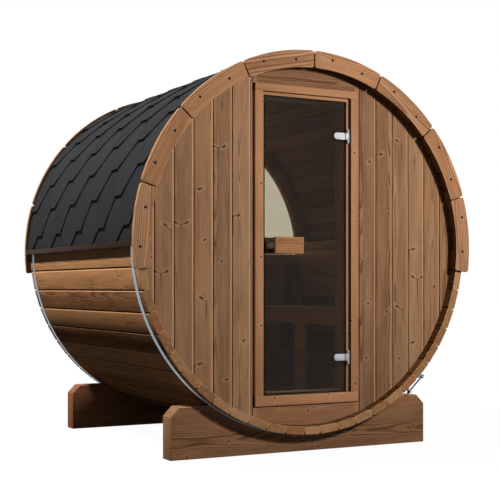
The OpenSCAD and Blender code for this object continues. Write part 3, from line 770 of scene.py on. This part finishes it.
def make_rear_wall():
    """The lower half of the back, in the same boards seen from behind."""
    face, back = REAR_WALL[1].y, REAR_WALL[0].y
    top = REAR_WALL[1].z
    limit = math.sqrt(WALL_R ** 2 - (CENTRE_Z - top) ** 2) - 0.4 * MM
    timber = Timber()
    edges = [-limit]
    x = (HOLE_X + POST_STRIP) - math.floor((HOLE_X + POST_STRIP + limit) / BOARD_PITCH) * BOARD_PITCH
    while x < limit:
        if x - edges[-1] > 10 * MM:
            edges.append(x)
        x += BOARD_PITCH
    edges.append(limit)
    for x0, x1 in zip(edges, edges[1:]):
        add_wall_board(timber, x0 + SLIT, x1 - SLIT, face, back, 1, arc_low, lambda x: top, random.random())
    timber.build("boards_rear_wall", "sauna", "wall_wood", [WALL_WOOD], ["rear_wall"])


def add_flat_board(timber, z0, z1, face, back, low_arc, high_arc, half_x, seed):
    """A level board over or under the doorway. An arc end follows the barrel."""
    steps = 28
    chamfer = 1.5 * MM
    rings, grains = [], []
    for i in range(steps + 1):
        x = -half_x + 2 * half_x * i / steps
        low = max(z0, arc_low(x)) if low_arc else z0
        high = min(z1, arc_high(x)) if high_arc else z1
        if i in (0, steps):
            low, high = low + 0.2 * MM, high - 0.2 * MM
        ring = [(face + chamfer, low), (face, low + chamfer), (face, high - chamfer), (face + chamfer, high),
                (back, high), (back, low)]
        rings.append([Vector((x, y, z)) for y, z in ring])
        grains.append([(x, z - (z0 + z1) / 2, y - face) for y, z in ring])
    timber.loft(rings, grains, seed, (0, 2))


def make_panels():
    """The lintel is one panel with level grain, and the sill is two boards."""
    face, back = LINTEL[0].y, LINTEL[1].y
    half_x = LINTEL[1].x
    lintel = Timber()
    add_flat_board(lintel, LINTEL[0].z, LINTEL[1].z, face, back, False, True, half_x, random.random())
    lintel.build("panel_lintel", "sauna", "panel_wood", [PANEL_WOOD], ["front_lintel"])
    sill = Timber()
    joint = SILL[0].z + 0.2 * (SILL[1].z - SILL[0].z)
    reach = math.sqrt(WALL_R ** 2 - (CENTRE_Z - joint) ** 2) - 1 * MM
    add_flat_board(sill, SILL[0].z, joint - 1 * MM, face, back, True, False, reach - 12 * MM, random.random())
    add_flat_board(sill, joint, SILL[1].z, face, back, True, False, half_x, random.random())
    sill.build("panel_sill", "sauna", "panel_wood", [PANEL_WOOD], ["front_sill"])


# ---------- curved boards ----------

ARC_STEPS = 14

def add_curved_board(timber, start, stop, r0, r1, y0, y1, seed, arris=3 * MM, corner=13 * MM, shades=None):
    """A board sawn to an arc out of a straight plank, with its corners and arrises rounded."""
    mid_angle, mid_r, mid_y = (start + stop) / 2, (r0 + r1) / 2, (y0 + y1) / 2
    out = Vector((math.cos(mid_angle), 0, math.sin(mid_angle)))
    side = Vector((-math.sin(mid_angle), 0, math.cos(mid_angle)))
    stations = []
    for t in (0.0, 0.08, 0.25, 0.5, 1.0):
        inset = corner * (1 - math.sqrt(1 - (1 - t) ** 2)) if corner else 0.0
        stations.append((t * corner / mid_r, inset))
    if not corner:
        stations = [(0.0, 0.0)]
    line = [(start + a, inset) for a, inset in stations]
    first, last = line[-1][0], stop - stations[-1][0]
    line += [(first + (last - first) * i / ARC_STEPS, 0.0) for i in range(1, ARC_STEPS)]
    line += [(stop - a, inset) for a, inset in reversed(stations)]
    rings, grains = [], []
    for n, (angle, inset) in enumerate(line):
        a, b = r0 + inset, r1 - inset
        pull = arris * (0.75 if n in (0, len(line) - 1) else 0.0)
        near, far = y0 + pull, y1 - pull
        ring = []
        for r, y, sr, sy in ((a, near, 1, 1), (b, near, -1, 1), (b, far, -1, -1), (a, far, 1, -1)):
            if (sr > 0) == (sy > 0):
                ring += [(r, y + sy * arris), (r + sr * 0.3 * arris, y + sy * 0.3 * arris), (r + sr * arris, y)]
            else:
                ring += [(r + sr * arris, y), (r + sr * 0.3 * arris, y + sy * 0.3 * arris), (r, y + sy * arris)]
        rings.append([at(r, angle, y) for r, y in ring])
        rows = []
        for point in rings[-1]:
            local = point - Vector((0, 0, CENTRE_Z))
            rows.append((local.dot(side), local.dot(out) - mid_r, local.y - mid_y))
        grains.append(rows)
    timber.loft(rings, grains, seed, (0, 1, 3, 4, 6, 7, 9, 10), shades=shades)


FASCIA_N = 8
SCREW_PROUD = 0.6 * MM
SCREW_SIDES = 12
SCREW_RINGS = ((7.5, 3.0), (7.5, 0.3), (6.8, 0.1), (2.5, 0.45))  # radius and depth, in mm
SCREW_AT = ((0.27, 0.45), (0.74, 0.6))  # parts of the board's length and width
# Painted shade: the board ends at the joints; the inner face of the front boards; on the rear boards the face
# towards the roof and the outer rim.
FRONT_SHADES = {-1: 0.9, 11: 0.85}
REAR_SHADES = {-1: 0.9, 1: 0.7, 2: 0.7, 3: 0.7, 4: 0.3, 5: 0.35, 6: 0.3}
FASCIA_DROP = math.radians(7.7)
FASCIA_GAP = 6 * MM


def make_fascias():
    """Eight curved boards at each end, four to a side, with two screws in each board."""
    span = (math.pi + 2 * FASCIA_DROP) / FASCIA_N
    half_gap = math.asin(FASCIA_GAP / 2 / FASCIA_R)
    inner = FASCIA_R - FASCIA_W
    screws = Timber()
    for end in ("front", "rear"):
        for side, numbers in (("right", range(0, 4)), ("left", range(4, 8))):
            node = end + "_fascia_" + side
            low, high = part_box(node)
            timber = Timber()
            for k in numbers:
                start = k * span - FASCIA_DROP + half_gap
                stop = start + span - 2 * half_gap
                add_curved_board(timber, start, stop, inner, FASCIA_R, low.y + SCREW_PROUD,
                                 high.y - SCREW_PROUD, random.random(),
                                 shades=FRONT_SHADES if end == "front" else REAR_SHADES)
                face = low.y if end == "front" else high.y
                for part, rise in SCREW_AT:
                    point = at(inner + rise * FASCIA_W, start + part * (stop - start), face)
                    add_screw(screws, point, -1 if end == "front" else 1)
            timber.build("boards_" + node, "sauna", "fascia_wood", [FASCIA_WOOD], [node])
    screws.build("fascia_screws", "sauna", "bolt_black", [GASKET])


def add_screw(timber, point, out):
    """A black screw head with a dished middle, a little proud of its board."""
    rings = []
    for radius, depth in SCREW_RINGS:
        rings.append([point + MM * Vector((radius * math.cos(a), -out * depth, radius * math.sin(a)))
                      for a in [math.tau * i / SCREW_SIDES for i in range(SCREW_SIDES)]])
    timber.plain(rings)


def make_window():
    """The arch round the rear window in five sawn pieces, standing on the rail under it."""
    low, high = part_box("window_arch")
    timber = Timber()
    first = math.asin((RAIL[1].z - CENTRE_Z) / (WALL_R - ARCH_W / 2))
    count = 5
    span = (math.pi - 2 * first) / count
    joint = 0.0005
    for k in range(count):
        add_curved_board(timber, first + k * span + joint, first + (k + 1) * span - joint, WALL_R - ARCH_W,
                         WALL_R, low.y, high.y, random.random(), arris=2 * MM, corner=0.0)
    timber.build("window_arch_boards", "sauna", "frame_wood", [FRAME_WOOD], ["window_arch"])


# ---------- roof ----------

TAB_PERIOD = 342 * MM
TAB_FLAT = 44 * MM
TAB_SLANT = 83 * MM
FIRST_LEVEL = math.radians(5.1)
LEVEL = math.radians(9.0)
FIRST_TAB_Y = -59 * MM
LAP = 2.05  # how many levels a course covers
COURSE_ROWS = 14
CUT, CUT_LEAST = 6.5 * MM, 3 * MM
CUT_LOSS, LOSS_FROM = 0.9 * MM, 4  # the cut edge gets lower by this much for each level above this one
# The first row of each course's top face is black beside the cut edge: a painted shadow line, partly the
# bitumen edge. These are its widths on the flats and on the slants.
CUT_SHADOW_LINE = 2.5 * MM
SLANT_SHADOW_LINE = 6 * MM
TURN = 3 * MM


def tab_rise(y, centre):
    """0 along a tab's foot, 1 along the top of the cut-out beside it."""
    d = abs((y - centre + TAB_PERIOD / 2) % TAB_PERIOD - TAB_PERIOD / 2)
    return min(1.0, max(0.0, (d - TAB_FLAT) / TAB_SLANT))


def tab_breaks(centre):
    """Where the edge of a course turns, along the barrel."""
    found = {-HALF_LEN, HALF_LEN}
    centre = math.remainder(centre, TAB_PERIOD)
    count = math.ceil(HALF_LEN / TAB_PERIOD) + 2
    for k in range(-count, count + 1):
        for d in (TAB_FLAT, TAB_FLAT + TURN, TAB_FLAT + TAB_SLANT - TURN, TAB_FLAT + TAB_SLANT):
            for y in (centre + k * TAB_PERIOD - d, centre + k * TAB_PERIOD + d):
                if abs(y) < HALF_LEN - 1 * MM:
                    found.add(y)
    return sorted(found)


def add_course(timber, level, side, eave, ridge):
    """One course of shingles. It leans on the course below it, so that each cut edge stands equally high."""
    foot = FIRST_LEVEL + (level - 1) * LEVEL
    centre = FIRST_TAB_Y - (level - 1) * TAB_PERIOD / 2
    top = min(ridge, foot + LAP * LEVEL)
    columns = tab_breaks(centre)
    rows = COURSE_ROWS
    seed = random.random()
    start = len(timber.points)
    height = ROOF_R - DECK_R - 0.3 * MM
    cut = min(CUT, max(CUT_LEAST, CUT - CUT_LOSS * (level - LOSS_FROM)))
    for y in columns:
        rise = tab_rise(y, centre)
        low = max(eave, foot + LEVEL * rise)
        low = min(low, top - math.radians(0.05))
        # width of the black strip beside the cut edge: a painted shadow line, partly bitumen
        line = SLANT_SHADOW_LINE if 0.01 < rise < 0.99 else CUT_SHADOW_LINE
        strip = min(line / ROOF_R, (top - low) / 3)
        for i in range(rows + 1):
            angle = low + strip + (top - low - strip) * (i - 1) / (rows - 1) if i else low
            above = height - cut * (angle - foot) / LEVEL
            under = max(0.1 * MM, above - cut + 0.1 * MM)
            for r in (DECK_R + min(under, above - 0.3 * MM), DECK_R + above):
                a = angle if side > 0 else math.pi - angle
                timber.points.append(at(r, a, y))
                timber.grain.append((y, angle, r))
    stride = 2 * (rows + 1)

    def index(c, i, top_face):
        return start + c * stride + 2 * i + top_face

    for c in range(len(columns) - 1):
        for i in range(rows):
            for f in (0, 1):
                # slot 1 is black: the cut and under faces, and on the top face the first row, a painted shadow
                # line
                timber.add((index(c, i, f), index(c + 1, i, f), index(c + 1, i + 1, f), index(c, i + 1, f)),
                           seed, 0.0, 0 if f and i else 1)
        for i in (0, rows):
            timber.add((index(c, i, 0), index(c + 1, i, 0), index(c + 1, i, 1), index(c, i, 1)), seed, 0.0, 1)
    for c in (0, len(columns) - 1):
        for i in range(rows):
            timber.add((index(c, i, 0), index(c, i + 1, 0), index(c, i + 1, 1), index(c, i, 1)), seed, 0.0, 1)


def make_roof():
    """Lapped hexagonal shingles on each side."""
    eave = math.asin((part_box("roof_right")[0].z - CENTRE_Z) / (DECK_R - 1.8 * MM))
    ridge = math.pi / 2
    for side, node in ((1, "roof_right"), (-1, "roof_left")):
        timber = Timber()
        level = -1
        while FIRST_LEVEL + (level - 1) * LEVEL < ridge - math.radians(2):
            add_course(timber, level, side, eave, ridge)
            level += 1
        timber.build("shingles_" + node, "sauna", "shingle", [SHINGLE, SHINGLE_CUT_AND_SHADOW], [node], smooth=25)


def make_ridge():
    """Caps bent over the ridge, each lapped over the one behind it."""
    timber = Timber()
    half, bends = math.radians(7.5), 10
    thick, lift = 3.2 * MM, 2.6 * MM
    count, lap = 11, 1.35
    step = 2 * HALF_LEN / count
    for k in range(count):
        y0 = -HALF_LEN + k * step
        y1 = min(HALF_LEN, y0 + step * lap)
        rings = []
        for i in range(bends + 1):
            angle = math.pi / 2 - half + 2 * half * i / bends
            rings.append([at(ROOF_R + lift, angle, y0), at(ROOF_R + lift + thick, angle, y0),
                          at(ROOF_R + thick, angle, y1), at(ROOF_R, angle, y1)])
        timber.plain(rings, random.random())
    timber.build("ridge_caps", "sauna", "shingle", [SHINGLE, SHINGLE_CUT_AND_SHADOW])


# ---------- carried-over nodes ----------

LONG_X, LONG_Y, LONG_Z = 0, 1, 2


def make_from_cad():
    """Pieces whose CAD shape is right: they get edges rounded by so many mm, and their finish."""
    rows = [
        ("sauna", "cradle_front cradle_rear", "cradle_wood", CRADLE_WOOD, LONG_X, 3.5),
        ("sauna", "window_rail", "frame_wood", FRAME_WOOD, LONG_X, 2),
        ("sauna", "eave_left eave_right", "batten_wood", BATTEN_WOOD, LONG_Y, 1),
        ("sauna", "frame_head frame_threshold", "frame_wood", FRAME_WOOD, LONG_X, 1.5),
        ("sauna", "frame_jamb_left frame_jamb_right", "frame_wood", FRAME_WOOD, LONG_Z, 1.5),
        ("sauna", "floor_boards", "bench_wood", BENCH_WOOD, LONG_Y, 2),
        ("sauna", "floor_bearers", "bench_wood", BENCH_WOOD, LONG_X, 2),
        ("sauna", "bench_seat_left bench_seat_right bench_frame_left bench_frame_right", "bench_wood",
         BENCH_WOOD, LONG_Y, 3),
        ("sauna", "backrest_left backrest_right", "bench_wood", BENCH_WOOD, LONG_Y, 2.5),
        ("sauna", "front_band rear_band", "band_steel", BAND_STEEL, LONG_Y, 0.3),
        ("sauna", "band_bolts", "bolt_black", BOLT_BLACK, LONG_Z, 0.5),
        ("sauna", "hinge_bracket_top hinge_bracket_bottom", "hinge_metal", HINGE_METAL, LONG_Z, 0.5),
        ("door", "hinge_clamp_top hinge_clamp_bottom", "hinge_metal", HINGE_METAL, LONG_X, 0.8),
        ("door", "handle_outer", "handle_wood", HANDLE_WOOD, LONG_X, 2.5),
        ("door", "handle_inner", "handle_wood", HANDLE_SHADE, LONG_X, 2.5),
        ("door", "handle_posts", "post_chrome", POST_CHROME, LONG_Y, 0.6),
    ]
    behind_glass = GLASS[1].y + 11 * MM
    extras = {
        "cradle": {"second": CRADLE_END, "pick": lambda f: abs(f.normal.x) > 0.5},
        # the door frame's faces behind the glass stop get painted shade
        "frame": {"shade": lambda f: 0.75 if f.calc_center_median().y > behind_glass else 0.0, "flat": 1},
    }
    for body, nodes, slot, material, along, radius in rows:
        for node in nodes.split():
            extra = extras.get(node.split("_")[0], {})
            from_cad(node, "soft_" + node, body, slot, material, along, radius * MM, **extra)
    for node, body in (("door_glass", "door"), ("window_pane", "sauna")):
        from_cad(node, "clear_" + node, body, "smoked_glass", SMOKED, LONG_Z, 0.8 * MM, 1, second=GLASS_EDGE,
                 pick=lambda f: abs(f.normal.y) < 0.9)


def make_gaskets():
    """Black gaskets round the glass clamps, and a black strip of painted shade on the stop that the glass shuts
    against.
    """
    # a black strip on the stop's front face all round the doorway: painted shade where the stop lies in shadow
    # behind the glass
    shade_strip = Timber()
    low = (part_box("frame_jamb_left")[1].x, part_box("frame_threshold")[1].z)
    high = (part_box("frame_jamb_right")[0].x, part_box("frame_head")[0].z)
    stop = GLASS[1].y + 11.3 * MM
    wide, thick = 11 * MM, 3 * MM
    foot, head = low[1] + 0.2 * MM, high[1] - 0.2 * MM
    for x0, x1, z0, z1 in ((low[0] - wide, low[0], foot, head), (high[0], high[0] + wide, foot, head),
                           (low[0] - wide, high[0] + wide, low[1] - wide, low[1]),
                           (low[0] - wide, high[0] + wide, high[1], high[1] + wide)):
        corners = ((x0, z0), (x1, z0), (x1, z1), (x0, z1))
        shade_strip.plain([[Vector((x, y, z)) for x, z in corners] for y in (stop - thick, stop)])
    shade_strip.build("stop_painted_shade_strip", "sauna", "bolt_black", [GASKET])
    timber = Timber()
    grip, rim, bends = 0.25 * MM, 8 * MM, 20
    for node in ("hinge_clamp_top", "hinge_clamp_bottom"):
        low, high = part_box(node)
        half = (high.z - low.z) / 2 + rim
        mid_z = (high.z + low.z) / 2
        tail = low.x + (high.z - low.z) / 2
        outline = [(GLASS[1].x, mid_z - half), (GLASS[1].x, mid_z + half)]
        outline += [(tail - half * math.sin(a), mid_z + half * math.cos(a))
                    for a in [math.pi * i / bends for i in range(bends + 1)]]
        for face in (GLASS[0].y - grip, GLASS[1].y):
            timber.plain([[Vector((x, y, z)) for x, z in outline] for y in (face, face + grip)])
    timber.build("hinge_gaskets", "door", "bolt_black", [GASKET])


# ---------- stage ----------

WHITE = (1.0, 1.0, 1.0, 1.0)
FLOOR_R, FLOOR_SIDES = 4.2, 96
FLOOR_GLOW = 0.97  # the share of the floor's white that takes no shadow


def make_stage():
    """A floor that the camera sees nearly white, with a faint shadow, and white surroundings.

    Light that reaches the object by way of the floor and the surroundings is kept dim.
    """
    p = Paint("stage_floor")
    cloud = p.noise(p.place(), 3.0, 3.0)
    pale = p.node("ShaderNodeBsdfDiffuse", {"Color": p.mix(cloud, rgb(240, 240, 240), rgb(244, 244, 244))})
    dull = p.node("ShaderNodeBsdfDiffuse", {"Color": (0.04, 0.04, 0.04, 1.0)})
    glow = p.node("ShaderNodeEmission", {"Color": WHITE, "Strength": 1.0})
    material = p.finish(p.blend(p.seen(), dull, p.blend(FLOOR_GLOW, pale, glow)))
    turns = [math.tau * i / FLOOR_SIDES for i in range(FLOOR_SIDES)]
    mesh = bpy.data.meshes.new("stage_floor")
    mesh.from_pydata([(FLOOR_R * math.cos(a), FLOOR_R * math.sin(a), 0) for a in turns], [],
                     [tuple(range(FLOOR_SIDES))])
    mesh.materials.append(material)
    floor = add_object("stage_floor", mesh)

    p = Paint("studio", world=True)
    soft = p.node("ShaderNodeBackground", {"Color": (0.88, 0.97, 1.1, 1), "Strength": 0.08})
    white = p.node("ShaderNodeBackground", {"Color": WHITE, "Strength": 1.0})
    bpy.context.scene.world = p.finish(p.blend(p.seen(), soft, white))


def lamp(name, place, aim, size, power, colour):
    light = bpy.data.lights.new(name, "AREA")
    light.shape = "SQUARE"
    light.size = size
    light.energy = power
    light.color = colour
    obj = add_object(name, light)
    obj.location = place
    obj.rotation_euler = (Vector(aim) - Vector(place)).to_track_quat("-Z", "Y").to_euler()


def make_lamps():
    """A key lamp high on the left, a near one at head height right of the doorway, and a weak one behind."""
    lamp("key", (-5.2, 1.4, 8.6), (-0.8, 0.0, 1.1), 0.6, 1450, (1.0, 0.98, 0.95))
    lamp("front", (0.98, -3.85, 2.12), (0.0, -0.8, 1.1), 0.4, 104, (1.0, 0.98, 0.96))
    lamp("back", (5.0, 7.5, 4.0), (0.0, 0.0, 1.0), 2.5, 300, (1.0, 0.99, 0.97))


def make_camera():
    data = bpy.data.cameras.new("camera")
    data.sensor_width = 36
    data.lens = 81.71
    data.shift_x = 0.0029
    data.shift_y = 0.0755
    camera = add_object("camera", data)
    camera.location = (-3.034, -5.866, 0.851)
    camera.rotation_euler = (math.radians(90), 0, math.radians(-27.94))
    bpy.context.scene.camera = camera
    bpy.context.scene.view_settings.view_transform = "Standard"


make_camera()
make_staves()
make_front_wall()
make_rear_wall()
make_panels()
make_fascias()
make_window()
make_roof()
make_ridge()
make_from_cad()
make_gaskets()
make_stage()
make_lamps()
